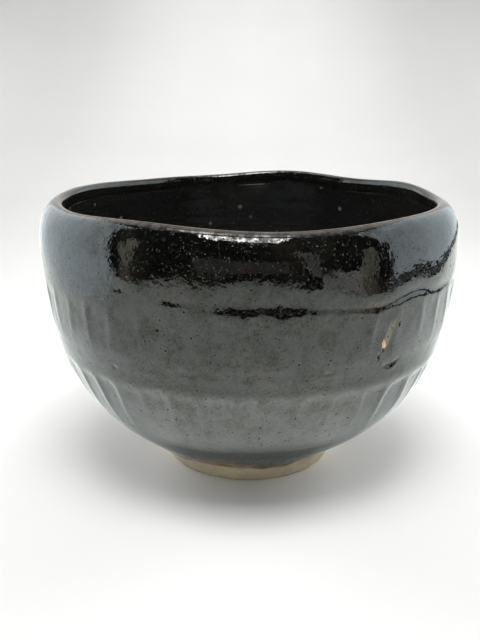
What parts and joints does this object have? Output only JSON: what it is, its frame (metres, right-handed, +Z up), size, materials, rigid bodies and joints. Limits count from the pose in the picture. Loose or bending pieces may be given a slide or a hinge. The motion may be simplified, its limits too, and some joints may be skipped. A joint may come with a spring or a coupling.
{
  "type": "matcha bowl",
  "caption": "Rounded ceramic tea bowl with a wavy in-curved rim, rows of shallow vertical flutes, glossy black glaze and a low bare clay foot ring.",
  "frame": {"origin": "middle of the foot ring's flat underside", "axes": "+Z up along the bowl's axis, -Y towards the bowl's front, +X to the right seen from the front"},
  "size_m": [0.12, 0.12, 0.0806],
  "materials": {
    "black_glaze": "glossy black glaze with fine orange-peel texture, pinholes and faint olive mottling",
    "brown_glaze": "glossy glaze broken to dark brown where it is thin over the edge",
    "bare_clay": "matt unglazed stoneware, fine grained, pinkish beige",
    "grit": "matt ochre grain"
  },
  "bodies": {
    "root": {"clay_body": "bare_clay", "foot_ring": "bare_clay", "outer_glaze": "black_glaze", "lip_glaze": "brown_glaze", "inner_glaze": "black_glaze", "grit_fleck": "grit"}
  },
  "joints": []
}
